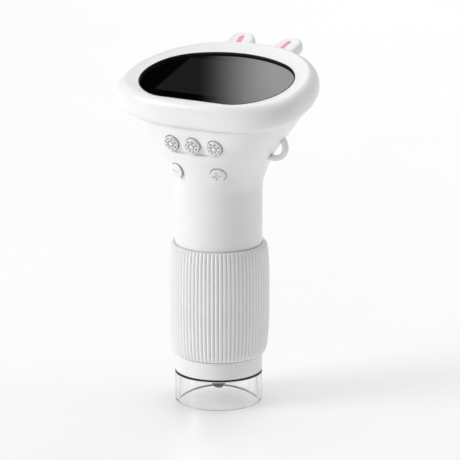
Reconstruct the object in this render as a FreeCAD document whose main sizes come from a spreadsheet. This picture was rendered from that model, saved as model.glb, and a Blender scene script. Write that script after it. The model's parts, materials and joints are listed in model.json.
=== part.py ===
"""Handheld digital microscope with a tilted display head, a ribbed focus sleeve and a clear nose cup.

Millimetres, +Z up. The optical axis is the Z axis and the origin is the centre of the cup's rim, where
the microscope stands. The display faces up and towards -Y, and the keys are on the -Y side.
"""
import FreeCAD, Part

import math
import os

import Sketcher
from FreeCAD import Placement, Rotation, Vector

X_AXIS = Vector(1, 0, 0)
Y_AXIS = Vector(0, 1, 0)
Z_AXIS = Vector(0, 0, 1)

DRIVING_SIZES = {
    # grip, from the bottom up
    "grip_radius": 17.4,
    "tube_radius": 16.6,
    "tube_bore": 15.0,
    "running_gap": 0.05,
    "cup_rim": 12.0,
    "cup_wall": 1.8,
    "cup_edge": 1.0,
    "spigot_radius": 15.95,
    "spigot_wall": 1.2,
    "spigot_top": 16.5,
    "collar_bottom": 12.85,
    "collar_top": 19.9,
    "tube_bottom": 16.8,
    "neck_shoulder": 64.3,
    "neck_top": 84.0,
    # focus sleeve
    "sleeve_bottom": 20.1,
    "sleeve_top": 65.4,
    "sleeve_foot_radius": 18.6,
    "sleeve_low_radius": 19.6,
    "sleeve_crown_radius": 20.3,
    "sleeve_rim_radius": 18.95,
    "sleeve_mouth_radius": 17.6,
    "sleeve_seat": 64.15,
    "groove_radius": 17.95,
    "groove_width": 2.9,
    "groove_lead": 15.0,
    "groove_turn": 134.0,
    # moving lens carriage
    "pin_height": 35.0,
    "pin_radius": 1.2,
    "pin_reach": 17.75,
    "slot_width": 2.7,
    "slot_height": 8.1,
    "carriage_bottom": 27.0,
    "carriage_top": 43.0,
    "carriage_floor": 2.5,
    "carriage_wall": 2.2,
    "snout_tip": 6.9,
    "snout_tip_radius": 2.3,
    "snout_radius": 3.7,
    "snout_shoulder": 10.9,
    "barrel_bore": 2.0,
    "barrel_top": 31.0,
    "barrel_flange_radius": 6.0,
    "sensor_size": 6.4,
    "camera_board_height": 39.5,
    "camera_board_radius": 12.6,
    # light plate and lamps
    "plate_radius": 14.6,
    "plate_hole": 4.1,
    "plate_thickness": 1.0,
    "lamp_circle": 9.0,
    "lamp_hole": 1.3,
    "lamp_board_radius": 13.2,
    "lamp_board_height": 15.0,
    # head
    "head_tilt": 12.6,
    "display_height": 131.5,
    "wall": 2.2,
    "seam_drop": 10.0,
    "rim_rise": 1.2,
    "seam_half_width": 36.1,
    "seam_front": 25.1,
    "seam_back": 30.4,
    "outline_centre": -2.4,
    "roll_side": 4.3,
    "roll_front": 3.0,
    "roll_back": 4.9,
    "window_half_width": 31.8,
    "window_front": 22.0,
    "window_back": 22.1,
    "window_overlap": 1.5,
    "glass_thickness": 1.2,
    "display_width": 46.0,
    "display_length": 36.0,
    "display_thickness": 2.2,
    "carrier_half_width": 35.6,
    "carrier_front": 24.3,
    "carrier_back": 28.0,
    "carrier_thickness": 1.2,
    "board_width": 57.0,
    "board_length": 37.0,
    "board_thickness": 1.2,
    "board_drop": 7.4,
    # keys
    "key_tilt": 18.0,
    "key_radius": 3.1,
    "key_hole_radius": 3.25,
    "key_flange_radius": 4.1,
    "key_flange": 0.8,
    "key_rise": 0.7,
    "key_travel": 0.6,
    "key_board_depth": 21.6,
    "switch_side": 4.5,
    "switch_body": 1.6,
    "plunger_radius": 1.1,
    "plunger_height": 1.0,
    "panel_width": 27.8,
    "panel_length": 8.4,
    "panel_depth": 0.5,
    # ears and loop
    "ear_width": 11.0,
    "ear_length": 15.0,
    "ear_thickness": 5.0,
    "ear_splay": 9.5,
    "ear_pitch": 18.5,
    "inlay_width": 2.8,
    "inlay_length": 6.6,
    "inlay_reach": 8.3,
    "inlay_depth": 0.6,
    "loop_radius": 4.95,
    "loop_hole_width": 4.6,
    "loop_hole_height": 5.2,
    "loop_thickness": 2.6,
    # power
    "cell_width": 20.0,
    "cell_depth": 7.0,
    "cell_length": 33.0,
    "cell_bottom": 50.0,
}

# Keys: centre of the cap on the shell, splay of its face in degrees, depth of its flange behind the shell.
UPPER_KEYS = {
    "left": (Vector(-9.5, -20.8, 109.0), -5.0, 4.5),
    "centre": (Vector(0.0, -21.5, 109.0), 0.0, 4.5),
    "right": (Vector(9.5, -20.8, 109.0), 5.0, 4.5),
}
LOWER_KEYS = {
    "minus": (Vector(-9.0, -17.3, 97.3), -21.0, 4.8),
    "plus": (Vector(9.0, -17.3, 97.3), 21.0, 4.8),
}
KEYS = {**UPPER_KEYS, **LOWER_KEYS}

doc = FreeCAD.newDocument("microscope")
sheet = doc.addObject("Spreadsheet::Sheet", "Sizes")
for row, (alias, number) in enumerate(DRIVING_SIZES.items(), start=1):
    sheet.set(f"A{row}", alias.replace("_", " "))
    sheet.set(f"B{row}", str(number))
    sheet.setAlias(f"B{row}", alias)
doc.recompute()

nodes = []


def size(alias):
    """A driving dimension, read back from the sheet."""
    return float(sheet.get(alias))


def cell(alias):
    """The expression that names a driving dimension."""
    return "Sizes." + alias


def bind(obj, **expressions):
    """Binds each named property of an object to an expression on the sheet."""
    for name, expression in expressions.items():
        obj.setExpression(name, expression)
    return obj


def finish(obj, label):
    """Marks an object as a sub-part under its own label."""
    obj.Label = label
    nodes.append(obj)
    return obj


def origin_plane(body, role):
    return next(f for f in body.Origin.OriginFeatures if f.Role == role)


def polygon_sketch(body, role, corners, name):
    """A closed polygon on one of the body's origin planes; each corner is a pair of expressions."""
    sketch = body.newObject("Sketcher::SketchObject", name)
    sketch.AttachmentSupport = [(origin_plane(body, role), "")]
    sketch.MapMode = "FlatFace"
    count = len(corners)
    turns = [2 * math.pi * i / count for i in range(count)]
    ring = [Vector(math.cos(a), math.sin(a), 0) for a in turns]
    for i in range(count):
        sketch.addGeometry(Part.LineSegment(ring[i], ring[(i + 1) % count]), False)
    for i in range(count):
        sketch.addConstraint(Sketcher.Constraint("Coincident", i, 2, (i + 1) % count, 1))
    for i, corner in enumerate(corners):
        for kind, expression in zip(("DistanceX", "DistanceY"), corner):
            index = sketch.addConstraint(Sketcher.Constraint(kind, -1, 1, i, 1, 1.0))
            sketch.setExpression(f"Constraints[{index}]", expression)
    return sketch


def turned(label, corners, part=True):
    """A body turned about Z from a profile of (radius, height) expressions."""
    body = doc.addObject("PartDesign::Body", label)
    sketch = polygon_sketch(body, "XZ_Plane", corners, label + "_profile")
    turn = body.newObject("PartDesign::Revolution", label + "_turn")
    turn.Profile = sketch
    turn.ReferenceAxis = (sketch, ["V_Axis"])
    turn.Angle = 360
    doc.recompute()
    if part:
        finish(body, label)
    return body


def slab(label, width, length, thickness, place, part=True):
    """A rectangular pad centred on its own XY plane's origin, growing along its own +Z."""
    body = doc.addObject("PartDesign::Body", label)
    half_x, half_y = f"({width}) / 2", f"({length}) / 2"
    corners = [(f"-{half_x}", f"-{half_y}"), (half_x, f"-{half_y}"), (half_x, half_y), (f"-{half_x}", half_y)]
    sketch = polygon_sketch(body, "XY_Plane", corners, label + "_outline")
    pad = body.newObject("PartDesign::Pad", label + "_height")
    pad.Profile = sketch
    bind(pad, Length=thickness)
    body.Placement = place
    doc.recompute()
    if part:
        finish(body, label)
    return body


def fillet(body, radius, wanted):
    """Rounds the edges of the body's tip for which wanted(edge) is true, in the body's own frame."""
    tip = body.Tip
    names = [f"Edge{i}" for i, edge in enumerate(tip.Shape.Edges, start=1) if wanted(edge)]
    rounding = body.newObject("PartDesign::Fillet", f"{body.Name}_rounding")
    rounding.Base = (tip, names)
    rounding.Radius = radius
    doc.recompute()
    return rounding


def rod(name, radius, height, place):
    """A cylinder whose radius and height are expressions, standing along its own +Z."""
    cylinder = doc.addObject("Part::Cylinder", name)
    bind(cylinder, Radius=radius, Height=height)
    cylinder.Placement = place
    return cylinder


def block(name, length, width, height, place):
    """A box whose sides are expressions, centred on its own X and Y and growing along its own +Z."""
    box = doc.addObject("Part::Box", name)
    bind(box, Length=length, Width=width, Height=height)
    doc.recompute()
    shift = Placement(Vector(-box.Length.Value / 2, -box.Width.Value / 2, 0), Rotation())
    box.Placement = place.multiply(shift)
    return box


def fused(name, shapes):
    fusion = doc.addObject("Part::MultiFuse", name)
    fusion.Shapes = shapes
    fusion.Refine = True
    doc.recompute()
    return fusion


def grouped(name, shapes):
    """Separate like solids in one node."""
    group = doc.addObject("Part::Compound", name)
    group.Links = shapes
    doc.recompute()
    return finish(group, name)


def cut(name, base, tools):
    """The base less each tool; every cut must remove something."""
    remaining = base
    for i, tool in enumerate(tools):
        step = doc.addObject("Part::Cut", f"{name}_cut{i}")
        step.Base = remaining
        step.Tool = tool
        doc.recompute()
        if remaining.Shape.common(tool.Shape).Volume < 0.01:
            raise RuntimeError(f"{tool.Name} cuts nothing from {name}")
        remaining = step
    return remaining


# ---------------------------------------------------------------- head frame and outlines
HEAD = Placement(Vector(0, 0, size("display_height")), Rotation(X_AXIS, size("head_tilt")))


def on_head(u, v, above, turn=Rotation()):
    """A placement in the head's frame: u to the side, v towards the ears, above the glass."""
    return HEAD.multiply(Placement(Vector(u, v, above), turn))


def outline(name, place, half_width, front, back, centre, front_power, back_power=2.12):
    """A closed D: two half superellipses, squarer in front, that meet at the widest line."""
    points = []
    count = 36
    for i in range(count):
        angle = 2 * math.pi * i / count
        across, along = math.cos(angle), math.sin(angle)
        reach = back - centre if along >= 0 else front + centre
        power = back_power if along >= 0 else front_power
        radius = ((abs(across) / half_width) ** power + (abs(along) / reach) ** power) ** (-1 / power)
        points.append(Vector(radius * across, centre + radius * along, 0))
    curve = Part.BSplineCurve()
    curve.interpolate(points, PeriodicFlag=True)
    wire = doc.addObject("Part::Feature", name)
    wire.Shape = Part.Wire([curve.toShape()])
    wire.Placement = place
    return wire


def lofted(name, sections):
    loft = doc.addObject("Part::Loft", name)
    loft.Sections = sections
    loft.Solid = True
    loft.Ruled = False
    doc.recompute()
    return loft


def head_plate(name, above, thickness, half_width, front, back, front_power):
    """A flat D-shaped plate in the head's frame, growing down from the height above."""
    wire = outline(name + "_outline", on_head(0, 0, above), half_width, front, back,
                   size("outline_centre"), front_power)
    plate = doc.addObject("Part::Extrusion", name + "_plate")
    plate.Base = wire
    plate.DirMode = "Custom"
    plate.Dir = HEAD.Rotation.multVec(Vector(0, 0, -1))
    plate.LengthFwd = thickness
    plate.Solid = True
    doc.recompute()
    return plate


# The flare under the head: height on the axis, half width, front, back and squareness of each section.
NECK_FLARE = 88.0
SEAM_ON_AXIS = size("display_height") - size("seam_drop") / math.cos(math.radians(size("head_tilt")))
AXIS_SHIFT = size("seam_drop") * math.tan(math.radians(size("head_tilt")))
FLARE_SECTIONS = [
    (0.2, 18.9, 18.1, 19.3, 2.02),
    (0.4, 22.2, 19.4, 21.8, 2.12),
    (0.6, 26.7, 20.9, 25.2, 2.3),
    (0.8, 31.9, 22.0, 28.9, 2.5),
    (1.0, size("seam_half_width"), size("seam_front") - AXIS_SHIFT, size("seam_back") + AXIS_SHIFT, 2.75),
]


def flare(name, inset):
    """The solid inside the flare's surface, moved inwards by inset."""
    radius = size("grip_radius") - inset
    sections = [
        outline(f"{name}_neck{i}", Placement(Vector(0, 0, height), Rotation()),
                radius, radius, radius, 0, 2, 2)
        for i, height in enumerate((size("neck_top"), NECK_FLARE))
    ]
    for i, (share, half_width, front, back, power) in enumerate(FLARE_SECTIONS):
        height = NECK_FLARE + share * (SEAM_ON_AXIS - NECK_FLARE)
        tilt = Rotation(X_AXIS, share * size("head_tilt"))
        centre = share * (size("outline_centre") + AXIS_SHIFT)
        sections.append(outline(
            f"{name}_section{i}", Placement(Vector(0, 0, height), tilt),
            half_width - inset, front - inset, back - inset, centre, power, 2 + 0.12 * share,
        ))
    return lofted(name, sections)


def roll(name, inset, lowest, highest, sink=0.0):
    """The solid inside the bezel's rolled surface between two heights, moved in by inset and down by sink."""
    middle = (size("rim_rise") - size("seam_drop")) / 2
    half_height = (size("rim_rise") + size("seam_drop")) / 2
    low = math.degrees(math.asin(max(-1.0, (lowest - middle) / half_height)))
    high = math.degrees(math.asin(min(1.0, (highest - middle) / half_height)))
    count = 9
    sections = []
    for i in range(count):
        angle = math.radians(low + (high - low) * i / (count - 1))
        bulge = math.cos(angle)
        sections.append(outline(
            f"{name}_section{i}", on_head(0, 0, middle + half_height * math.sin(angle) - sink),
            size("seam_half_width") + 0.2 + bulge * size("roll_side") - inset,
            size("seam_front") + 0.1 + bulge * size("roll_front") - inset,
            size("seam_back") + 0.1 + bulge * size("roll_back") - inset,
            size("outline_centre"), 2.75 - 0.35 * i / (count - 1),
        ))
    return lofted(name, sections)


# ---------------------------------------------------------------- key frames
KEY_DOWN = math.radians(size("key_tilt"))
KEY_OUT = Vector(0, -math.cos(KEY_DOWN), -math.sin(KEY_DOWN))
KEY_TURN = Rotation(X_AXIS, 90 + size("key_tilt"))


def key_place(centre, outwards):
    """On a key's axis, that far outside the shell; local +Z points out, local +Y up the shell."""
    return Placement(centre + KEY_OUT * outwards, KEY_TURN)


def key_depth(centre):
    """How far a key's cap lies outside the front face of the key board."""
    return centre.dot(KEY_OUT) + size("key_board_depth")


# ---------------------------------------------------------------- body shell
neck = turned("neck", [
    (cell("tube_bore"), cell("tube_bottom")),
    (cell("tube_radius"), cell("tube_bottom")),
    (cell("tube_radius"), cell("neck_shoulder")),
    (cell("grip_radius"), cell("neck_shoulder")),
    (cell("grip_radius"), cell("neck_top")),
    (cell("tube_bore"), cell("neck_top")),
], part=False)
flare_outside = flare("flare_outside", 0)
flare_inside = flare("flare_inside", size("grip_radius") - size("tube_bore"))
flare_shell = cut("flare_shell", flare_outside, [flare_inside])
shell_blank = fused("shell_blank", [neck, flare_shell])

slots = [
    block(f"pin_slot{i}", "6", cell("slot_width"), cell("slot_height"),
          Placement(Vector(side * size("tube_radius"), 0, size("pin_height") - size("slot_height") / 2),
                    Rotation()))
    for i, side in enumerate((-1, 1))
]
key_bores = [
    rod(f"key_bore_{name}", cell("key_hole_radius"), "12", key_place(centre, -6))
    for name, (centre, splay, flange_depth) in KEYS.items()
]
flange_room = [
    rod(f"flange_room_{name}", cell("key_flange_radius") + " + 0.4", "4",
        key_place(centre, -flange_depth - 2.9))
    for name, (centre, splay, flange_depth) in LOWER_KEYS.items()
]
panel_centre = UPPER_KEYS["centre"][0]
PANEL_FLOOR = -size("panel_depth")
panel_ends = [
    rod(f"panel_end{i}", cell("panel_length") + " / 2", "5",
        key_place(panel_centre + Vector(side * (size("panel_width") - size("panel_length")) / 2, 0, 0),
                  PANEL_FLOOR))
    for i, side in enumerate((-1, 1))
]
panel_middle = block("panel_middle", cell("panel_width") + " - " + cell("panel_length"), cell("panel_length"),
                     "5", key_place(panel_centre, PANEL_FLOOR))
panel_recess = fused("panel_recess", panel_ends + [panel_middle])

# Mouths in the back of the flare, level with the sockets on the port board: charging, and a memory card.
PORT_BOARD_TOP = -18.55
USB_U, CARD_U = -8.0, 8.0
usb_mouth = block("usb_mouth", "9.4", "12", "3.6", on_head(USB_U, 26, PORT_BOARD_TOP - 0.2))
card_mouth = block("card_mouth", "12.2", "12", "1.8", on_head(CARD_U, 26, PORT_BOARD_TOP - 0.05))
openings = slots + [panel_recess] + key_bores + flange_room + [usb_mouth, card_mouth]
finish(cut("shell", shell_blank, openings), "body_shell")

# ---------------------------------------------------------------- collar, seal and clear cup
turned("collar_ring", [
    (cell("spigot_radius") + " + " + cell("running_gap"), cell("collar_bottom")),
    (cell("grip_radius"), cell("collar_bottom")),
    (cell("grip_radius"), cell("collar_top")),
    (cell("tube_radius"), cell("collar_top")),
    (cell("tube_radius"), cell("tube_bottom")),
    (cell("spigot_radius") + " + " + cell("running_gap"), cell("tube_bottom")),
])
turned("cup_seal", [
    (cell("spigot_radius") + " + " + cell("running_gap"), cell("cup_rim") + " + " + cell("running_gap")),
    (cell("grip_radius"), cell("cup_rim") + " + " + cell("running_gap")),
    (cell("grip_radius"), cell("collar_bottom")),
    (cell("spigot_radius") + " + " + cell("running_gap"), cell("collar_bottom")),
])
SPIGOT_BORE = cell("spigot_radius") + " - " + cell("spigot_wall")
clear_cup = turned("clear_cup", [
    (cell("grip_radius") + " - " + cell("cup_wall"), "0"),
    (cell("grip_radius"), "0"),
    (cell("grip_radius"), cell("cup_rim")),
    (cell("spigot_radius"), cell("cup_rim")),
    (cell("spigot_radius"), cell("spigot_top")),
    (SPIGOT_BORE, cell("spigot_top")),
    (SPIGOT_BORE, cell("cup_rim") + " - " + cell("cup_wall")),
    (cell("grip_radius") + " - " + cell("cup_wall"), cell("cup_rim") + " - 2 * " + cell("cup_wall")),
])
fillet(clear_cup, size("cup_edge"),
       lambda e: abs(e.BoundBox.ZMax) < 0.01 and e.BoundBox.XMax > size("grip_radius") - 0.1)

# ---------------------------------------------------------------- focus sleeve
SLEEVE_BORE = cell("tube_radius") + " + " + cell("running_gap")
sleeve_blank = turned("sleeve_blank", [
    (SLEEVE_BORE, cell("sleeve_bottom")),
    (cell("sleeve_foot_radius"), cell("sleeve_bottom")),
    (cell("sleeve_low_radius"), cell("sleeve_bottom") + " + 4.2"),
    (cell("sleeve_crown_radius"), cell("sleeve_bottom") + " + 14"),
    (cell("sleeve_crown_radius"), cell("sleeve_top") + " - 16"),
    (cell("sleeve_low_radius") + " + 0.3", cell("sleeve_top") + " - 3"),
    (cell("sleeve_rim_radius"), cell("sleeve_top")),
    (cell("sleeve_mouth_radius"), cell("sleeve_top")),
    (cell("sleeve_mouth_radius"), cell("sleeve_seat")),
    (SLEEVE_BORE, cell("sleeve_seat")),
], part=False)


def helical_groove(name, start_angle):
    """The space of one cam groove: a rectangle swept along a right-handed helix inside the sleeve."""
    rise = size("groove_lead") * size("groove_turn") / 360
    inner, outer, half = size("tube_bore"), size("groove_radius"), size("groove_width") / 2
    helix = Part.makeHelix(size("groove_lead"), rise, inner)
    section = ((inner, -half), (outer, -half), (outer, half), (inner, half), (inner, -half))
    corners = [Vector(r, 0, z) for r, z in section]
    groove = doc.addObject("Part::Feature", name)
    groove.Shape = Part.Wire(helix.Edges).makePipeShell([Part.makePolygon(corners)], True, True)
    groove.Placement = Placement(Vector(0, 0, size("pin_height") - rise / 2), Rotation(Z_AXIS, start_angle))
    return groove


finish(cut("sleeve", sleeve_blank, [
    helical_groove(f"cam_groove{i}", side - size("groove_turn") / 2) for i, side in enumerate((0, 180))
]), "focus_sleeve")

# ---------------------------------------------------------------- lens carriage and optics
CARRIAGE_RADIUS = cell("tube_bore") + " - " + cell("running_gap")
CARRIAGE_BORE = CARRIAGE_RADIUS + " - " + cell("carriage_wall")
CARRIAGE_FLOOR_TOP = cell("carriage_bottom") + " + " + cell("carriage_floor")
carriage_blank = turned("carriage_blank", [
    (cell("snout_radius"), cell("carriage_bottom")),
    (CARRIAGE_RADIUS, cell("carriage_bottom")),
    (CARRIAGE_RADIUS, cell("carriage_top")),
    (CARRIAGE_BORE, cell("carriage_top")),
    (CARRIAGE_BORE, CARRIAGE_FLOOR_TOP),
    (cell("snout_radius"), CARRIAGE_FLOOR_TOP),
], part=False)


def pin_solid(name, side):
    """A radial peg from the carriage wall through the tube's slot into the cam groove."""
    start = size("tube_bore") - size("running_gap") - size("carriage_wall") + 0.2
    return rod(name, cell("pin_radius"), f"{cell('pin_reach')} - {start}",
               Placement(Vector(side * start, 0, size("pin_height")), Rotation(Y_AXIS, side * 90)))


finish(cut("carriage", carriage_blank, [
    pin_solid("pin_hole0", -1), pin_solid("pin_hole1", 1),
]), "lens_carriage")
grouped("focus_pins", [pin_solid("pin0", -1), pin_solid("pin1", 1)])
turned("lens_barrel", [
    (cell("barrel_bore"), cell("snout_tip")),
    (cell("snout_tip_radius"), cell("snout_tip")),
    (cell("snout_radius") + " - 0.35", cell("snout_tip") + " + 2.4"),
    (cell("snout_radius"), cell("snout_shoulder")),
    (cell("snout_radius"), CARRIAGE_FLOOR_TOP),
    (cell("barrel_flange_radius"), CARRIAGE_FLOOR_TOP),
    (cell("barrel_flange_radius"), cell("barrel_top")),
    (cell("barrel_bore"), cell("barrel_top")),
])
for label, height, thickness in (("front_lens", "snout_tip", 1.4), ("relay_lens", "carriage_bottom", 2.0)):
    turned(label, [
        ("0", cell(height) + " + 0.5"),
        (cell("barrel_bore") + " - 0.3", cell(height) + " + 0.7"),
        (cell("barrel_bore"), cell(height) + " + 0.7"),
        (cell("barrel_bore"), cell(height) + f" + {thickness}"),
        ("0", cell(height) + f" + {thickness}"),
    ])
turned("camera_board", [
    ("0", cell("camera_board_height")),
    (cell("camera_board_radius"), cell("camera_board_height")),
    (cell("camera_board_radius"), cell("camera_board_height") + " + 1"),
    ("0", cell("camera_board_height") + " + 1"),
])
slab("image_sensor", cell("sensor_size"), cell("sensor_size"), "1.1",
     Placement(Vector(0, 0, size("camera_board_height") - 1.1), Rotation()))

# ---------------------------------------------------------------- light plate and lamps
LAMP_COUNT = 8


def around(radius, height, count, turn=0.0):
    """Placements evenly round the axis at that radius and height."""
    angles = [turn + 360 * i / count for i in range(count)]
    turns = [Rotation(Z_AXIS, a) for a in angles]
    return [Placement(turn.multVec(Vector(radius, 0, height)), turn) for turn in turns]


PLATE_TOP = cell("collar_bottom") + " + " + cell("plate_thickness")
plate_blank = turned("plate_blank", [
    (cell("plate_hole"), cell("collar_bottom")),
    (cell("plate_radius"), cell("collar_bottom")),
    (cell("plate_radius"), cell("tube_bottom") + " + 0.2"),
    (cell("tube_bore"), cell("tube_bottom") + " + 0.2"),
    (cell("tube_bore"), cell("tube_bottom") + " + 2"),
    (cell("lamp_board_radius") + " + 0.1", cell("tube_bottom") + " + 2"),
    (cell("lamp_board_radius") + " + 0.1", PLATE_TOP),
    (cell("plate_hole"), PLATE_TOP),
], part=False)
finish(cut("plate", plate_blank, [
    rod(f"lamp_window{i}", cell("lamp_hole"), "3", place)
    for i, place in enumerate(around(size("lamp_circle"), size("collar_bottom") - 1, LAMP_COUNT))
]), "light_plate")
turned("lamp_board", [
    (cell("plate_hole") + " + 0.4", cell("lamp_board_height")),
    (cell("lamp_board_radius"), cell("lamp_board_height")),
    (cell("lamp_board_radius"), cell("lamp_board_height") + " + 1.2"),
    (cell("plate_hole") + " + 0.4", cell("lamp_board_height") + " + 1.2"),
])
grouped("lamps", [
    block(f"lamp{i}", "2", "1.6", "0.9", place)
    for i, place in enumerate(around(size("lamp_circle"), size("lamp_board_height") - 0.9, LAMP_COUNT))
])
grouped("lamp_board_screws", [
    rod(f"lamp_board_screw{i}", "1.4", "0.9", place)
    for i, place in enumerate(around(11.0, size("lamp_board_height") + 1.2, 3, 22.5))
])

# ---------------------------------------------------------------- bezel, glass and display
roll_solid = roll("roll_solid", 0, -size("seam_drop"), size("rim_rise"))
HOLLOW_SINK = 0.4
hollow = roll("hollow", size("wall"), -size("seam_drop"), -size("glass_thickness") + HOLLOW_SINK, HOLLOW_SINK)
window_hole = head_plate("window_hole", size("rim_rise") + 2, 5, size("window_half_width"),
                         size("window_front"), size("window_back"), 3.6)
glass_fit = size("window_overlap") + 0.1
glass_seat = head_plate("glass_seat", 0, size("glass_thickness") + 0.5, size("window_half_width") + glass_fit,
                        size("window_front") + glass_fit, size("window_back") + glass_fit, 3.5)
CARRIER_SCREWS = [(-34.6, -3.2), (34.6, -3.2), (-13.0, 25.8), (13.0, 25.8)]
screw_holes = [
    rod(f"carrier_pilot{i}", "0.7", "1.6", on_head(u, v, -size("glass_thickness") - 0.3))
    for i, (u, v) in enumerate(CARRIER_SCREWS)
]
finish(cut("bezel_frame", roll_solid, [hollow, window_hole, glass_seat] + screw_holes), "bezel")

glass = head_plate("glass", 0, size("glass_thickness"), size("window_half_width") + size("window_overlap"),
                   size("window_front") + size("window_overlap"),
                   size("window_back") + size("window_overlap"), 3.3)
finish(glass, "window_lens")
slab("display_panel", cell("display_width"), cell("display_length"), cell("display_thickness"),
     on_head(0, 0, -size("glass_thickness") - size("display_thickness")))
carrier_blank = head_plate("carrier", -size("glass_thickness"), size("carrier_thickness"),
                           size("carrier_half_width"), size("carrier_front"), size("carrier_back"), 2.6)
display_opening = block("display_opening",
                        cell("display_width") + " + 0.2", cell("display_length") + " + 0.2", "6",
                        on_head(0, 0, -size("glass_thickness") - 4))
BOARD_POSTS = [(side_u * 26.0, side_v * 13.5) for side_u in (-1, 1) for side_v in (-1, 1)]
CARRIER_BOTTOM = -size("glass_thickness") - size("carrier_thickness")
BOARD_TOP = -size("board_drop") + size("board_thickness")
posts = [
    rod(f"board_post{i}", "2", str(CARRIER_BOTTOM - BOARD_TOP + 0.2), on_head(u, v, BOARD_TOP))
    for i, (u, v) in enumerate(BOARD_POSTS)
]
pilots = [
    rod(f"post_pilot{i}", "0.8", "3", on_head(u, v, BOARD_TOP - 0.5)) for i, (u, v) in enumerate(BOARD_POSTS)
]
screw_ways = [
    rod(f"carrier_way{i}", "0.7", "3", on_head(u, v, CARRIER_BOTTOM - 1))
    for i, (u, v) in enumerate(CARRIER_SCREWS)
]
carrier_solid = fused("carrier_solid", [carrier_blank] + posts)
finish(cut("carrier_body", carrier_solid, [display_opening] + pilots + screw_ways), "display_carrier")


def screw(name, shank_radius, shank_length, head_radius, head_height, place):
    """A pan-head screw whose shank points along its own +Z from the underside of the head."""
    head = rod(name + "_head", str(head_radius), str(head_height),
               place.multiply(Placement(Vector(0, 0, -head_height), Rotation())))
    shank = rod(name + "_shank", str(shank_radius), str(shank_length), place)
    return fused(name, [head, shank])


grouped("carrier_screws", [
    screw(f"carrier_screw{i}", 0.7, 2.4, 1.3, 0.8, on_head(u, v, CARRIER_BOTTOM))
    for i, (u, v) in enumerate(CARRIER_SCREWS)
])
slab("display_backlight", cell("display_width") + " - 1", cell("display_length") + " - 1", "1.2",
                 on_head(0, 0, -size("glass_thickness") - size("display_thickness") - 1.2))

# ---------------------------------------------------------------- main board
board_blank = slab("board_blank", cell("board_width"), cell("board_length"), cell("board_thickness"),
                   on_head(0, 0, -size("board_drop")), part=False)
fillet(board_blank, 3.0, lambda e: e.BoundBox.ZLength > size("board_thickness") - 0.01)
board_ways = [
    rod(f"board_way{i}", "0.8", "4", on_head(u, v, -size("board_drop") - 1))
    for i, (u, v) in enumerate(BOARD_POSTS)
]
finish(cut("board", board_blank, board_ways), "main_board")
grouped("board_screws", [
    screw(f"board_screw{i}", 0.8, 3.2, 1.6, 0.9, on_head(u, v, -size("board_drop")))
    for i, (u, v) in enumerate(BOARD_POSTS)
])
CHIPS = [(-14.0, -4.0, 11.0, 11.0), (4.0, -6.0, 8.0, 8.0), (16.0, 2.0, 6.0, 5.0)]
grouped("board_chips", [
    block(f"chip{i}", str(length), str(width), "1.2", on_head(u, v, -size("board_drop") - 1.2))
    for i, (u, v, length, width) in enumerate(CHIPS)
])

# A small port board hangs from the main board on a pin header; its sockets look out through the shell.
slab("port_board", "28.5", "7.6", "1", on_head(0.95, 11.8, PORT_BOARD_TOP - 1))
HEADER_HEIGHT = -size("board_drop") - PORT_BOARD_TOP
finish(block("port_pins", "8", "2.5", str(HEADER_HEIGHT), on_head(USB_U, 9.6, PORT_BOARD_TOP)), "port_header")
usb_blank = block("usb_blank", "8.9", "7.4", "3.2", on_head(USB_U, 15.4, PORT_BOARD_TOP))
usb_bore = block("usb_bore", "8.1", "7.4", "2.4", on_head(USB_U, 16.4, PORT_BOARD_TOP + 0.4))
finish(cut("usb", usb_blank, [usb_bore]), "usb_socket")
card_blank = block("card_blank", "14", "10", "1.9", on_head(CARD_U, 12.2, PORT_BOARD_TOP))
card_bore = block("card_bore", "11.4", "9.6", "0.9", on_head(CARD_U, 13.2, PORT_BOARD_TOP + 0.4))
finish(cut("card", card_blank, [card_bore]), "card_socket")

# ---------------------------------------------------------------- cell in the neck
turned("cell_holder", [
    ("0", cell("cell_bottom") + " - 2"),
    (cell("tube_bore"), cell("cell_bottom") + " - 2"),
    (cell("tube_bore"), cell("cell_bottom") + " - 0.4"),
    ("0", cell("cell_bottom") + " - 0.4"),
], part=False)
holder_notch = block("holder_notch", "9", "7", "8",
                     Placement(Vector(0, 12.0, size("cell_bottom") - 6), Rotation()))
finish(cut("holder", doc.getObject("cell_holder"), [holder_notch]), "battery_shelf")
battery = slab("battery", cell("cell_width"), cell("cell_depth"), cell("cell_length"),
               Placement(Vector(0, 0, size("cell_bottom")), Rotation()))
fillet(battery, 2.0, lambda e: e.BoundBox.ZLength > size("cell_length") - 0.01)
slab("battery_pad", cell("cell_width") + " - 4", cell("cell_depth") + " - 2", "0.4",
     Placement(Vector(0, 0, size("cell_bottom") - 0.4), Rotation()))
RIBBON_TOP = 121.5
slab("camera_ribbon", "6", "0.3", f"{RIBBON_TOP} - {cell('camera_board_height')} - 1",
     Placement(Vector(0, 10.2, size("camera_board_height") + 1), Rotation()))

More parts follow.
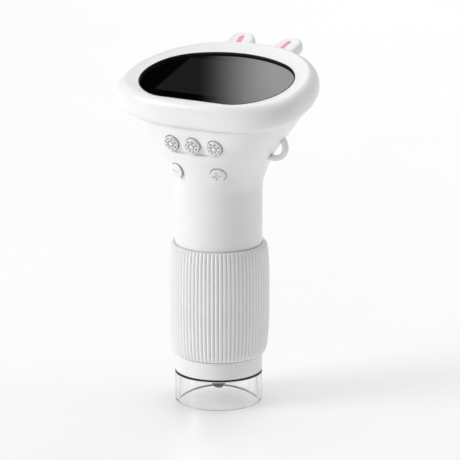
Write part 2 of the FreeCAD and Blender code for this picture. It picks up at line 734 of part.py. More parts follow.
# ---------------------------------------------------------------- keys
key_board_centre = Vector(0, 0, 0) + KEY_OUT * -size("key_board_depth")
board_along = KEY_TURN.multVec(Y_AXIS)
lower_along = LOWER_KEYS["plus"][0].dot(board_along)
upper_along = UPPER_KEYS["left"][0].dot(board_along)
key_board_length = upper_along - lower_along + 7.6
key_board_centre = key_board_centre + board_along * ((lower_along + upper_along) / 2)
slab("key_board", "25", str(key_board_length), "1.2",
     Placement(key_board_centre - KEY_OUT * 1.2, KEY_TURN))
grouped("key_switches", [
    cut(f"switch_{name}", block(
        f"switch_body_{name}", cell("switch_side"), cell("switch_side"), cell("switch_body"),
        key_place(centre, -key_depth(centre)),
    ), [rod(f"switch_well_{name}", cell("plunger_radius") + " + 0.15", "3",
            key_place(centre, 0.6 - key_depth(centre)))])
    for name, (centre, splay, flange_depth) in KEYS.items()
])
for name, (centre, splay, flange_depth) in KEYS.items():
    depth = key_depth(centre)
    plunger_top = -depth + size("switch_body") + size("plunger_height")
    finish(rod(f"plunger_{name}", cell("plunger_radius"),
               f"{cell('plunger_height')} - {cell('key_travel')} / 6",
               key_place(centre, plunger_top - size("plunger_height") + size("key_travel") / 6)),
           f"plunger_{name}")
    cap_rod = rod(f"cap_rod_{name}", cell("key_radius"), "10", key_place(centre, -flange_depth + 0.2))
    tilt = Rotation(Z_AXIS, splay).multiply(KEY_TURN)
    face_centre = centre + tilt.multVec(Z_AXIS) * size("key_rise")
    above_face = block(f"above_{name}", "20", "20", "10", Placement(face_centre, tilt))
    cap = cut(f"cap_{name}", cap_rod, [above_face])
    flange = rod(f"cap_flange_{name}", cell("key_flange_radius"), cell("key_flange"),
                 key_place(centre, -flange_depth))
    stem = rod(f"cap_stem_{name}", "1.5", str(0.1 - flange_depth - plunger_top),
               key_place(centre, plunger_top))
    finish(fused(f"key_{name}", [cap, flange, stem]), f"button_{name}")

# ---------------------------------------------------------------- ears
for name, side in (("left", -1), ("right", 1)):
    lean = Rotation(Z_AXIS, -side * size("ear_splay")).multiply(Rotation(X_AXIS, size("ear_pitch")))
    root = on_head(side * 9.0, 30.0, -2.0).Base
    middle = root + lean.multVec(Vector(0, size("ear_length") / 2, -size("ear_thickness")))
    ear = slab(f"ear_blank_{name}", cell("ear_width"), cell("ear_length"), cell("ear_thickness"),
               Placement(middle, lean), part=False)
    fillet(ear, size("ear_width") / 2 - 0.4,
           lambda e: e.BoundBox.ZLength > size("ear_thickness") - 0.01 and e.BoundBox.YMin > 0)
    fillet(ear, 1.6, lambda e: e.BoundBox.ZLength < 0.01 and e.BoundBox.YMax > 0)
    inlay_place = Placement(
        root + lean.multVec(Vector(0, size("inlay_reach"), -size("inlay_depth"))), lean)
    pocket = slab(f"inlay_pocket_{name}",
                  cell("inlay_width"), cell("inlay_length"), cell("inlay_depth") + " + 1",
                  inlay_place, part=False)
    fillet(pocket, size("inlay_width") / 2 - 0.05, lambda e: e.BoundBox.ZLength > size("inlay_depth"))
    finish(cut(f"ear_{name}_body", ear, [roll_solid, pocket]), f"ear_{name}")
    inlay = slab(f"ear_inlay_{name}",
                 cell("inlay_width"), cell("inlay_length"), cell("inlay_depth"), inlay_place)
    fillet(inlay, size("inlay_width") / 2 - 0.05, lambda e: e.BoundBox.ZLength > size("inlay_depth") - 0.01)

# ---------------------------------------------------------------- lanyard loop
LOOP_CENTRE = Vector(25.9, 0, 106.3)
LOOP_TURN = Rotation(X_AXIS, 90)
loop_base = LOOP_CENTRE + Vector(0, size("loop_thickness") / 2, 0)
loop_ring = rod("loop_ring", cell("loop_radius"), cell("loop_thickness"), Placement(loop_base, LOOP_TURN))
loop_foot = block("loop_foot", "7", "10.4", cell("loop_thickness"),
                  Placement(loop_base + Vector(-2.9, 0, 0.9), Rotation(Y_AXIS, 27).multiply(LOOP_TURN)))
loop_hole = slab("loop_hole", cell("loop_hole_width"), cell("loop_hole_height"), "9",
                 Placement(LOOP_CENTRE + Vector(0.25, 4.5, 0), LOOP_TURN), part=False)
fillet(loop_hole, 1.35, lambda e: e.BoundBox.ZLength > 8.9)
loop_blank = fused("loop_blank", [loop_ring, loop_foot])
finish(cut("loop", loop_blank, [loop_hole, flare_outside]), "lanyard_loop")

# ---------------------------------------------------------------- checks and export
doc.recompute()
for obj in doc.Objects:
    if "Invalid" in obj.State or "Error" in obj.State:
        raise RuntimeError(f"{obj.Label} failed: {obj.State}")
os.makedirs("parts", exist_ok=True)
for old in os.listdir("parts"):
    os.remove(os.path.join("parts", old))
for node in nodes:
    if node.Shape.isNull() or not node.Shape.isValid():
        raise RuntimeError(f"{node.Label} has no valid shape")
    node.Shape.exportStep(f"parts/{node.Label}.step")
    bounds = node.Shape.BoundBox
    print(f"{node.Label:20s} solids {len(node.Shape.Solids):2d} volume {node.Shape.Volume:9.1f} "
          f"x {bounds.XMin:6.1f} {bounds.XMax:6.1f} y {bounds.YMin:6.1f} {bounds.YMax:6.1f} "
          f"z {bounds.ZMin:6.1f} {bounds.ZMax:6.1f}")
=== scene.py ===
import json
import math

import bmesh
import bpy
from mathutils import Matrix, Vector


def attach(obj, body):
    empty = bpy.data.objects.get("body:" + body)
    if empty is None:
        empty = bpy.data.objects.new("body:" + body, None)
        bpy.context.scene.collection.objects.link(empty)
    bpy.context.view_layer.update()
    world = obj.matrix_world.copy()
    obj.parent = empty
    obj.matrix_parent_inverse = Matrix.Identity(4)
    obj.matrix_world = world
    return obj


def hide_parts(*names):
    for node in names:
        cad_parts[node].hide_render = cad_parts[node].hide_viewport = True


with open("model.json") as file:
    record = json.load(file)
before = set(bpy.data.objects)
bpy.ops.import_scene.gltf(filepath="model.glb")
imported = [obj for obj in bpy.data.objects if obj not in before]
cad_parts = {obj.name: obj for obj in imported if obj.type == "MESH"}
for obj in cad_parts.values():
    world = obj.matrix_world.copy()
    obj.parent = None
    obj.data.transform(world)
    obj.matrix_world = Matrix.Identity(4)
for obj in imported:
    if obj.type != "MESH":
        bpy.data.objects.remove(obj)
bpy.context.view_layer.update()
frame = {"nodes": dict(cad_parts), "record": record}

# ---------------------------------------------------------------- camera
# A long lens from the keys' side, a little to the right of them and above, so that the lines of the
# microscope stay nearly parallel. The view is aimed just beside the middle of the grip.
MM = 0.001
VIEW_TURN = math.radians(28.3)
VIEW_RISE = math.radians(15.6)
VIEW_DISTANCE = 1520.8 * MM
view_back = Vector((
    math.sin(VIEW_TURN) * math.cos(VIEW_RISE), -math.cos(VIEW_TURN) * math.cos(VIEW_RISE), math.sin(VIEW_RISE)
))
view_right = Vector((math.cos(VIEW_TURN), math.sin(VIEW_TURN), 0))
view_up = view_back.cross(view_right)
aim = Vector((0, 0, 76.04 * MM)) + view_right * 4.53 * MM - view_up * 5.92 * MM
camera_data = bpy.data.cameras.new("camera")
camera_data.lens = 300.9
camera_data.sensor_width = 36
camera_data.clip_end = 50
camera = bpy.data.objects.new("camera", camera_data)
camera.matrix_world = Matrix.Translation(aim + view_back * VIEW_DISTANCE) @ Matrix(
    (view_right, view_up, view_back)).transposed().to_4x4()
bpy.context.scene.collection.objects.link(camera)
bpy.context.scene.camera = camera

# ---------------------------------------------------------------- studio
# A pale floor under a white tent: one large soft box at the left front is the key light, a weak one at
# the right back rims, one overhead lifts the floor, and a graded card behind is what the window mirrors.
scene = bpy.context.scene
scene.view_settings.view_transform = "Standard"
world = bpy.data.worlds.new("tent")
world.use_nodes = True
scene.world = world


def soft_box(name, place, target, width, height, power, tint=(1, 1, 1)):
    """A rectangular area light aimed at a point."""
    data = bpy.data.lights.new(name, "AREA")
    data.shape = "RECTANGLE"
    data.size, data.size_y = width, height
    data.energy = power
    data.color = tint
    lamp = bpy.data.objects.new(name, data)
    lamp.location = place
    lamp.rotation_euler = (Vector(place) - Vector(target)).to_track_quat("Z", "Y").to_euler()
    bpy.context.scene.collection.objects.link(lamp)
    return lamp


MIDDLE = (0, 0, 0.08)
soft_box("key_box", (-0.78, -0.78, 0.66), MIDDLE, 0.55, 0.55, 8.8)
soft_box("rim_box", (0.85, 0.5, 0.35), MIDDLE, 0.4, 0.7, 1.0)
soft_box("top_box", (0.0, 0.4, 1.3), MIDDLE, 1.2, 1.2, 7)


def new_material(name, **values):
    """A principled material; each value is set on the shader's own socket of that name."""
    material = bpy.data.materials.new(name)
    material.use_nodes = True
    shader = material.node_tree.nodes["Principled BSDF"]
    for socket, value in values.items():
        shader.inputs[socket.replace("_", " ")].default_value = value
    return material, material.node_tree, shader


def add_node(tree, kind, **inputs):
    node = tree.nodes.new(kind)
    for socket, value in inputs.items():
        node.inputs[socket.replace("_", " ")].default_value = value
    return node


def noise(tree, scale, detail=3.0):
    """Noise in the object's own space; scale is in waves to the metre."""
    place = tree.nodes.new("ShaderNodeTexCoord")
    node = add_node(tree, "ShaderNodeTexNoise", Scale=scale, Detail=detail)
    tree.links.new(place.outputs["Object"], node.inputs["Vector"])
    return node.outputs["Fac"]


def spread(tree, source, low, high, first=0.35, last=0.65):
    """The source, from first to last, stretched over low to high."""
    node = add_node(tree, "ShaderNodeMapRange")
    for socket, value in zip(("From Min", "From Max", "To Min", "To Max"), (first, last, low, high)):
        node.inputs[socket].default_value = value
    tree.links.new(source, node.inputs["Value"])
    return node.outputs["Result"]


def blend_colours(tree, source, dark, light):
    node = tree.nodes.new("ShaderNodeMix")
    node.data_type = "RGBA"
    tree.links.new(source, node.inputs[0])
    node.inputs[6].default_value = (*dark, 1)
    node.inputs[7].default_value = (*light, 1)
    return node.outputs[2]


def position(tree, axis):
    """Where a point lies along the object's own X, Y or Z, in metres."""
    place = tree.nodes.new("ShaderNodeTexCoord")
    axes = tree.nodes.new("ShaderNodeSeparateXYZ")
    tree.links.new(place.outputs["Object"], axes.inputs["Vector"])
    return axes.outputs[axis]


sky = world.node_tree.nodes["Background"]
sky.inputs["Color"].default_value = (1.0, 1.0, 1.0, 1)
# the tent is open to a dim room on the right, so it is darker there
SKY_DARK_SIDE = (0.96, -0.29, 0.0)
sky_place = world.node_tree.nodes.new("ShaderNodeTexCoord")
sky_dot = world.node_tree.nodes.new("ShaderNodeVectorMath")
sky_dot.operation = "DOT_PRODUCT"
sky_dot.inputs[1].default_value = SKY_DARK_SIDE
world.node_tree.links.new(sky_place.outputs["Generated"], sky_dot.inputs[0])
sky_grade = spread(world.node_tree, sky_dot.outputs["Value"], 0.36, 0.28, -0.2, 0.9)
world.node_tree.links.new(sky_grade, sky.inputs["Strength"])


def bumped(tree, shader, source, depth, strength=1.0):
    """Relief from the source, depth in metres."""
    node = add_node(tree, "ShaderNodeBump", Strength=strength, Distance=depth)
    tree.links.new(source, node.inputs["Height"])
    tree.links.new(node.outputs["Normal"], shader.inputs["Normal"])
    return node


def with_painted_crease_shade(tree, colour, reach, shade):
    """The colour, multiplied by painted shade in creases narrower than the reach."""
    shut = tree.nodes.new("ShaderNodeAmbientOcclusion")
    shut.inputs["Distance"].default_value = reach
    # painted shade: darkest where the creases are tightest
    painted_shade_colour = blend_colours(tree, spread(tree, shut.outputs["AO"], 0, 1, 0.2, 0.9), (shade,) * 3, (1, 1, 1))
    node = tree.nodes.new("ShaderNodeMix")
    node.data_type = "RGBA"
    node.blend_type = "MULTIPLY"
    node.inputs[0].default_value = 1.0
    tree.links.new(colour, node.inputs[6])
    tree.links.new(painted_shade_colour, node.inputs[7])
    return node.outputs[2]


floor_mesh = bpy.data.meshes.new("floor")
FLOOR_REACH = 6.0
floor_mesh.from_pydata([(x, y, 0) for x, y in ((-FLOOR_REACH, -FLOOR_REACH), (FLOOR_REACH, -FLOOR_REACH),
                                               (FLOOR_REACH, FLOOR_REACH), (-FLOOR_REACH, FLOOR_REACH))],
                       [], [(0, 1, 2, 3)])
floor = bpy.data.objects.new("floor", floor_mesh)
bpy.context.scene.collection.objects.link(floor)
floor_material, tree, shader = new_material("pale_floor", Roughness=0.3)
veins = spread(tree, noise(tree, 5.0, 6.0), 0, 1, 0.3, 0.7)
tree.links.new(blend_colours(tree, veins, (0.60, 0.60, 0.60), (0.64, 0.64, 0.64)),
               shader.inputs["Base Color"])
# painted light: the table glows, and glows more towards the back, to stand for the tent's light on it
tree.links.new(spread(tree, position(tree, "Y"), 0.36, 0.56, -0.2, 0.7), shader.inputs["Emission Strength"])
shader.inputs["Emission Color"].default_value = (1, 1, 1, 1)
floor_mesh.materials.append(floor_material)

# The window mirrors a card that stands behind the microscope: black on the left and pale on the right.
DISPLAY_HEIGHT = 131.5
HEAD_TILT = math.radians(12.6)
CARD_DISTANCE = 300 * MM
glass_up = Vector((0, -math.sin(HEAD_TILT), math.cos(HEAD_TILT)))
mirrored = (2 * view_back.dot(glass_up) * glass_up - view_back).normalized()
card_right = (view_right - 2 * view_right.dot(glass_up) * glass_up).normalized()
card_up = mirrored.cross(card_right)
card_mesh = bpy.data.meshes.new("card")
CARD_HALF = 0.09
card_mesh.from_pydata([(x, y, 0) for x, y in ((-CARD_HALF, -CARD_HALF), (CARD_HALF, -CARD_HALF),
                                              (CARD_HALF, CARD_HALF), (-CARD_HALF, CARD_HALF))],
                      [], [(0, 1, 2, 3)])
card = bpy.data.objects.new("card", card_mesh)
card_centre = Vector((0, 0, DISPLAY_HEIGHT * MM)) + mirrored * CARD_DISTANCE
card.matrix_world = Matrix.Translation(card_centre) @ Matrix(
    (card_right, card_up, mirrored)).transposed().to_4x4()
bpy.context.scene.collection.objects.link(card)
card_material = bpy.data.materials.new("graded_card")
card_material.use_nodes = True
tree = card_material.node_tree
tree.nodes.remove(tree.nodes["Principled BSDF"])
glow = add_node(tree, "ShaderNodeEmission", Color=(1, 1, 1, 1))
CARD_BRIGHTNESS = 2.45
FADE_START, FADE_END = -0.011, 0.028
grade = spread(tree, position(tree, "X"), 0.0, CARD_BRIGHTNESS, FADE_START, FADE_END)
grade.node.interpolation_type = "SMOOTHSTEP"
tree.links.new(grade, glow.inputs["Strength"])
tree.links.new(glow.outputs["Emission"], tree.nodes["Material Output"].inputs["Surface"])
card_mesh.materials.append(card_material)
card.visible_camera = False
card.visible_diffuse = False
card.visible_shadow = False
card.visible_transmission = False

# ---------------------------------------------------------------- body shell
# The grip and flare are one injection moulding in white ABS with a fine satin grain: a round neck that
# opens into a D under the head. The keys' holes and panel, the pegs' slots and two ports are cut in it.
NECK_FLARE = 88.0
SEAM_ON_AXIS = 121.25
GRIP_RADIUS = 17.4
TUBE_RADIUS = 16.6
BORE_RADIUS = 15.0
SHELL_WALL = 2.4
FLARE_CENTRE_SHIFT = -0.165
# share of the way up the flare: half width, front, back, squareness in front and behind
FLARE_STATIONS = (
    (0.0, 17.4, 17.4, 17.4, 2.0, 2.0),
    (0.2, 18.9, 18.1, 19.3, 2.02, 2.02),
    (0.4, 22.2, 19.4, 21.8, 2.12, 2.05),
    (0.6, 26.7, 20.9, 25.2, 2.3, 2.07),
    (0.8, 31.9, 22.0, 28.9, 2.5, 2.1),
    (1.0, 36.1, 22.87, 32.63, 2.75, 2.12),
)
AROUND = 240


def along_stations(stations, share):
    """The stations' values at a share, on a smooth curve through them that starts level."""
    shares = [station[0] for station in stations]
    share = min(max(share, shares[0]), shares[-1])
    k = min(len(shares) - 2, max(0, sum(s <= share for s in shares) - 1))
    step = shares[k + 1] - shares[k]
    t = (share - shares[k]) / step

    def slope(i, column):
        if i == 0:
            return 0.0
        low, high = stations[i - 1], stations[min(i + 1, len(stations) - 1)]
        return (high[column] - low[column]) / (high[0] - low[0])

    values = []
    for column in range(1, len(stations[0])):
        a, b = stations[k][column], stations[k + 1][column]
        da, db = slope(k, column) * step, slope(k + 1, column) * step
        values.append((2 * t**3 - 3 * t**2 + 1) * a + (t**3 - 2 * t**2 + t) * da
                      + (3 * t**2 - 2 * t**3) * b + (t**3 - t**2) * db)
    return values


def tilted(u, v, w, height, tilt):
    """A point of a plane that is tilted about X by tilt and crosses the axis at that height, in mm."""
    across = v * math.cos(tilt) - w * math.sin(tilt)
    return Vector((u, across, height + v * math.sin(tilt) + w * math.cos(tilt)))


def d_radius(angle, half_width, front, back, square_front, square_back):
    """How far a D of two half superellipses reaches at an angle from its centre."""
    across, along = abs(math.cos(angle)), math.sin(angle)
    reach, power = (back, square_back) if along >= 0 else (front, square_front)
    return ((across / half_width) ** power + (abs(along) / reach) ** power) ** (-1 / power)


def flare_ring(share, inset=0.0):
    """One loop of points round the flare, moved inwards by inset."""
    half_width, front, back, square_front, square_back = along_stations(FLARE_STATIONS, share)
    height = NECK_FLARE + share * (SEAM_ON_AXIS - NECK_FLARE)
    centre = FLARE_CENTRE_SHIFT * share
    ring = []
    for i in range(AROUND):
        angle = 2 * math.pi * i / AROUND
        radius = d_radius(angle, half_width - inset, front + centre - inset, back - centre - inset,
                          square_front, square_back)
        ring.append(tilted(radius * math.cos(angle), centre + radius * math.sin(angle), 0,
                           height, share * HEAD_TILT))
    return ring


def circle(radius, height, count=AROUND):
    angles = [2 * math.pi * i / count for i in range(count)]
    return [Vector((radius * math.cos(a), radius * math.sin(a), height)) for a in angles]


def skin(name, rings, wrap=False, caps=False, sharp=40.0):
    """A mesh over loops of points in mm; wrap joins the last loop to the first, caps closes the ends."""
    count = len(rings[0])
    verts = [point * MM for ring in rings for point in ring]
    joined = list(range(len(rings))) + ([0] if wrap else [])
    faces = [
        (a * count + i, a * count + (i + 1) % count, b * count + (i + 1) % count, b * count + i)
        for a, b in zip(joined, joined[1:]) for i in range(count)
    ]
    if caps:
        last = (len(rings) - 1) * count
        faces += [tuple(range(count)), tuple(range(last, last + count))]
    mesh = bpy.data.meshes.new(name)
    mesh.from_pydata(verts, [], faces)
    shell = bmesh.new()
    shell.from_mesh(mesh)
    bmesh.ops.remove_doubles(shell, verts=shell.verts, dist=1e-6)
    bmesh.ops.recalc_face_normals(shell, faces=shell.faces)
    shell.to_mesh(mesh)
    shell.free()
    for polygon in mesh.polygons:
        polygon.use_smooth = True
    mesh.set_sharp_from_angle(angle=math.radians(sharp))
    piece = bpy.data.objects.new(name, mesh)
    bpy.context.scene.collection.objects.link(piece)
    return piece


def rounded(corners, steps=5):
    """A closed outline of (x, y, radius) corners, with an arc of that radius in place of each corner."""
    points = []
    for i, (x, y, radius) in enumerate(corners):
        here = Vector((x, y))
        if radius == 0:
            points.append(here)
            continue
        before = (Vector(corners[i - 1][:2]) - here).normalized()
        after = (Vector(corners[(i + 1) % len(corners)][:2]) - here).normalized()
        half = before.angle(after) / 2
        centre = here + (before + after).normalized() * (radius / math.sin(half))
        first = here + before * (radius / math.tan(half)) - centre
        last = here + after * (radius / math.tan(half)) - centre
        turn = first.angle(last)
        for step in range(steps + 1):
            share = step / steps
            spoke = first * math.sin((1 - share) * turn) + last * math.sin(share * turn)
            points.append(centre + spoke / math.sin(turn))
    return points


def lathed(name, corners, count=160, steps=5, sharp=40.0):
    """A turned solid from a closed outline of (radius, height, fillet) corners."""
    return skin(name, [circle(r, z, count) for r, z in rounded(corners, steps)], wrap=True, sharp=sharp)


def finish_piece(piece, material, body, slot, *nodes):
    """Gives a piece its material and its body, and hides the CAD nodes that it stands for."""
    piece.data.materials.clear()
    piece.data.materials.append(material)
    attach(piece, body)
    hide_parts(*nodes)
    return piece


def carve(piece, *cutters):
    """Takes each cutter out of the piece for good."""
    for cutter in cutters:
        step = piece.modifiers.new("carve", "BOOLEAN")
        step.operation = "DIFFERENCE"
        step.solver = "EXACT"
        step.object = cutter
    bpy.context.view_layer.update()
    carved = bpy.data.meshes.new_from_object(piece.evaluated_get(bpy.context.evaluated_depsgraph_get()))
    carved.name = piece.name
    piece.modifiers.clear()
    piece.data = carved
    for cutter in cutters:
        bpy.data.objects.remove(cutter)
    for polygon in carved.polygons:
        polygon.use_smooth = True
    carved.set_sharp_from_angle(angle=math.radians(34))


def placed(piece, place):
    """Moves a mesh to a place given in mm."""
    matrix = Matrix(place)
    matrix.translation *= MM
    piece.data.transform(matrix)
    return piece


def facing(centre, out, up=Vector((0, 0, 1))):
    """A frame at a point whose local Z looks out and whose local Y leans towards up."""
    out = out.normalized()
    side = up.cross(out).normalized()
    place = Matrix((side, out.cross(side), out)).transposed().to_4x4()
    place.translation = centre
    return place


KEY_TILT = math.radians(18)
KEY_OUT = Vector((0, -math.cos(KEY_TILT), -math.sin(KEY_TILT)))
# centre of each cap on the shell, and the splay of its face to the side
KEYS = {
    "left": (Vector((-9.5, -20.8, 109.0)), -5.0),
    "centre": (Vector((0.0, -21.5, 109.0)), 0.0),
    "right": (Vector((9.5, -20.8, 109.0)), 5.0),
    "minus": (Vector((-9.0, -17.3, 97.3)), -21.0),
    "plus": (Vector((9.0, -17.3, 97.3)), 21.0),
}
PANEL_LENGTH, PANEL_WIDTH, PANEL_DEPTH = 27.8, 8.4, 0.85
LOWER_SINK = 0.15
KEY_HOLE = {"left": 3.2, "centre": 3.2, "right": 3.2, "minus": 3.05, "plus": 3.05}


def flared_drill(name, radius, lip, depth, rise, place, count=72):
    """A round cutter whose top opens out in a quarter round, to leave a soft lip round the hole."""
    profile = [(0, -depth)] + [(radius, -depth)]
    for step in range(7):
        angle = math.pi / 2 * step / 6
        profile.append((radius + lip * (1 - math.cos(angle)), -lip + lip * math.sin(angle)))
    profile += [(radius + lip, rise), (0, rise)]
    rings = [circle(max(r, 0.001), z, count) for r, z in profile]
    return placed(skin(name, rings, caps=True), place)


def stadium(length, width, count=48):
    """A slot outline about its own centre, length across."""
    half, radius = (length - width) / 2, width / 2
    points = []
    for side, start in ((1, -90), (-1, 90)):
        for i in range(count):
            angle = math.radians(start + 180 * i / (count - 1))
            points.append(Vector((side * half + radius * math.cos(angle), radius * math.sin(angle), 0)))
    return points


def stadium_cutter(name, length, width, depth, lip, rise, place):
    """A slot-shaped cutter with a soft lip at its mouth and a soft corner at its floor."""
    sections = [(-depth, -lip * 0.6), (-depth + lip * 0.25, -lip * 0.15), (-depth + lip * 0.6, 0)]
    for step in range(6):
        angle = math.pi / 2 * step / 5
        sections.append((-lip + lip * math.sin(angle), lip * (1 - math.cos(angle))))
    sections.append((rise, lip))
    rings = []
    for height, grow in sections:
        rings.append([p + Vector((0, 0, height)) for p in stadium(length + 2 * grow, width + 2 * grow)])
    return placed(skin(name, rings, caps=True), place)


shell_rings = [circle(TUBE_RADIUS, z) for z in (16.8, 20.0, 64.1)]
shell_rings += [circle(TUBE_RADIUS + (GRIP_RADIUS - TUBE_RADIUS) * s, 64.3) for s in (0.0, 0.7)]
shell_rings += [circle(GRIP_RADIUS, 64.5)]
shell_rings += [circle(GRIP_RADIUS, z) for z in (66, 69, 72, 75, 78, 80, 82, 84, 85.5, 87)]
FLARE_STEPS = 64
shell_rings += [flare_ring(i / FLARE_STEPS) for i in range(FLARE_STEPS)]
seam_lip = [flare_ring(1.0 - 0.010 + 0.010 * math.sin(a), 0.3 * (1 - math.cos(a)))
            for a in (math.radians(d) for d in (0, 30, 60, 90))]
shell_rings += seam_lip
shell_rings += [flare_ring(1.0 - i / 20, SHELL_WALL) for i in range(21)]
shell_rings += [circle(BORE_RADIUS, z) for z in (86, 70, 16.8)]
body_shell = skin("body_shell", shell_rings, wrap=True, sharp=34)

panel_place = facing(KEYS["centre"][0], KEY_OUT)
cutters = [stadium_cutter("panel", PANEL_LENGTH, PANEL_WIDTH, PANEL_DEPTH, 0.12, 6, panel_place)]
for side in (-1, 1):
    slot_place = facing(Vector((side * 16, 0, 35)), Vector((side, 0, 0)))
    slot_place = slot_place @ Matrix.Rotation(math.pi / 2, 4, "Z")
    cutters.append(stadium_cutter(f"peg_slot{side}", 8.1, 2.7, 3, 0.1, 3, slot_place))
PORT_OUT = Vector((0, math.cos(HEAD_TILT), math.sin(HEAD_TILT)))
for x, drop, length, width in ((-8.0, 16.95, 9.4, 3.6), (8.0, 17.7, 12.2, 1.8)):
    mouth = tilted(x, 25.0, -drop, DISPLAY_HEIGHT, HEAD_TILT)
    cutters.append(stadium_cutter(f"port{x}", length, width, 8, 0.2, 12, facing(mouth, PORT_OUT)))
carve(body_shell, *cutters)
drills = []
for name, (centre, splay) in KEYS.items():
    sink = LOWER_SINK if name in ("minus", "plus") else PANEL_DEPTH
    drill_place = facing(centre - KEY_OUT * sink, KEY_OUT)
    drills.append(flared_drill(f"hole_{name}", KEY_HOLE[name], 0.12, 8, 3, drill_place))
carve(body_shell, *drills)

white_abs, tree, shader = new_material("white_abs", Specular_IOR_Level=0.5, Coat_Weight=0.12,
                                       Coat_Roughness=0.25)
cloud = noise(tree, 60.0, 2.0)
shade = blend_colours(tree, spread(tree, cloud, 0, 1), (0.855, 0.857, 0.86), (0.885, 0.886, 0.887))
# painted shade: the colour is darkened in creases, such as the seams and the rims of the key holes and panel
tree.links.new(with_painted_crease_shade(tree, shade, 0.0009, 0.45), shader.inputs["Base Color"])
tree.links.new(spread(tree, noise(tree, 900.0), 0.34, 0.42), shader.inputs["Roughness"])
bumped(tree, shader, noise(tree, 4200.0, 2.0), 0.000012, 0.35)
finish_piece(body_shell, white_abs, "handle", "shell_white", "body_shell")

# ---------------------------------------------------------------- bezel
# The head's frame is a fat rolled ring, moulded in the same white ABS and snapped onto the flare. It is
# widest at the back, dips gently into the window, and leaves a fine shadow line where it meets the flare.
RIM_RISE, SEAM_DROP = 1.2, 10.0
OUTLINE_CENTRE = -2.4
WINDOW_HALF_WIDTH, WINDOW_FRONT, WINDOW_BACK = 31.9, 22.0, 22.1
SEAM_HALF_WIDTH, SEAM_FRONT, SEAM_BACK = 36.2, 25.1, 30.4
BULGE_SIDE, BULGE_FRONT, BULGE_BACK = 4.25, 3.0, 4.9
SQUARE_BACK = 2.12


def on_head(u, v, w):
    """A point of the head's frame in mm: u to the side, v towards the ears, w above the glass."""
    return tilted(u, v, w, DISPLAY_HEIGHT, HEAD_TILT)


def arc_points(centre, radius, start, end, count=60):
    angles = [start + (end - start) * i / (count - 1) for i in range(count)]
    return [Vector((centre[0] + radius * math.cos(a), centre[1] + radius * math.sin(a))) for a in angles]


def window_outline():
    """The right half of the window: a shallow top arc, a side arc and a corner, each tangent to the next."""
    side_radius, side_height, corner_radius = 21.2, -1.5, 15.2
    side_u = WINDOW_HALF_WIDTH - side_radius
    drop = side_height - WINDOW_BACK
    top_radius = (side_u**2 + drop**2 - side_radius**2) / (-2 * (drop + side_radius))
    meet = math.atan2(side_height - (WINDOW_BACK - top_radius), side_u)
    corner_v = corner_radius - WINDOW_FRONT
    corner_u = side_u + math.sqrt((side_radius - corner_radius) ** 2 - (corner_v - side_height) ** 2)
    turn = math.atan2(corner_v - side_height, corner_u - side_u)
    front_edge = [Vector((corner_u * (1 - i / 60), -WINDOW_FRONT)) for i in range(1, 61)]
    return (arc_points((0, WINDOW_BACK - top_radius), top_radius, math.pi / 2, meet)
            + arc_points((side_u, side_height), side_radius, meet, turn)
            + arc_points((corner_u, corner_v), corner_radius, turn, -math.pi / 2)
            + front_edge)


def polar_table(points):
    """Angle and reach of each point of a right half outline from the outline's centre, by rising angle."""
    rises = [(p.x, p.y - OUTLINE_CENTRE) for p in points]
    return sorted((math.atan2(v, u), math.hypot(u, v)) for u, v in rises)


WINDOW_TABLE = polar_table(window_outline())


def window_radius(angle):
    """The window's reach at an angle from the outline's centre; the left half mirrors the right."""
    folded = math.asin(math.sin(angle))
    for (a, ra), (b, rb) in zip(WINDOW_TABLE, WINDOW_TABLE[1:]):
        if a <= folded <= b and b > a:
            return ra + (rb - ra) * (folded - a) / (b - a)
    return WINDOW_TABLE[0][1] if folded < 0 else WINDOW_TABLE[-1][1]


WINDOW_RADII = [window_radius(2 * math.pi * i / AROUND) for i in range(AROUND)]


def outer_radius(angle, bulge, square, inset=0.0):
    """The roll's reach at an angle: the seam's D, let out by the roll's bulge."""
    return d_radius(angle, SEAM_HALF_WIDTH + BULGE_SIDE * bulge - inset,
                    SEAM_FRONT + BULGE_FRONT * bulge + OUTLINE_CENTRE - inset,
                    SEAM_BACK + BULGE_BACK * bulge - OUTLINE_CENTRE - inset, square, SQUARE_BACK)


def head_ring(radius_at, height_at):
    """One loop in the head's frame from a reach and a height at each step round it."""
    ring = []
    for i in range(AROUND):
        angle = 2 * math.pi * i / AROUND
        radius, height = radius_at(i, angle), height_at(i, angle)
        ring.append(on_head(radius * math.cos(angle), OUTLINE_CENTRE + radius * math.sin(angle), height))
    return ring


MIDDLE_HEIGHT = (RIM_RISE - SEAM_DROP) / 2
HALF_HEIGHT = (RIM_RISE + SEAM_DROP) / 2
bezel_rings = []
# from the window's wall over its soft lip, across the top and down round the roll to the seam
for height in (-1.1, -0.3, 0.3):
    bezel_rings.append(head_ring(lambda i, a: WINDOW_RADII[i], lambda i, a, w=height: w))
LIP = 0.55
for step in range(1, 7):
    angle = math.pi / 2 * step / 6
    grow, rise = LIP * (1 - math.cos(angle)), 0.3 + LIP * math.sin(angle)
    bezel_rings.append(head_ring(lambda i, a, g=grow: WINDOW_RADII[i] + g, lambda i, a, w=rise: w))
TOP_STEPS = 7
for step in range(1, TOP_STEPS):
    share = step / TOP_STEPS
    rise = 0.3 + LIP + (RIM_RISE - 0.3 - LIP) * math.sin(share * math.pi / 2)
    bezel_rings.append(head_ring(
        lambda i, a, s=share: (WINDOW_RADII[i] + LIP) * (1 - s) + outer_radius(a, 0, 2.4) * s,
        lambda i, a, w=rise: w))
ROLL_STEPS = 34
for step in range(ROLL_STEPS + 1):
    turn = math.pi / 2 - math.pi * step / ROLL_STEPS
    bezel_rings.append(head_ring(
        lambda i, a, t=turn, s=step: outer_radius(a, math.cos(t), 2.4 + 0.35 * s / ROLL_STEPS),
        lambda i, a, t=turn: MIDDLE_HEIGHT + HALF_HEIGHT * math.sin(t)))
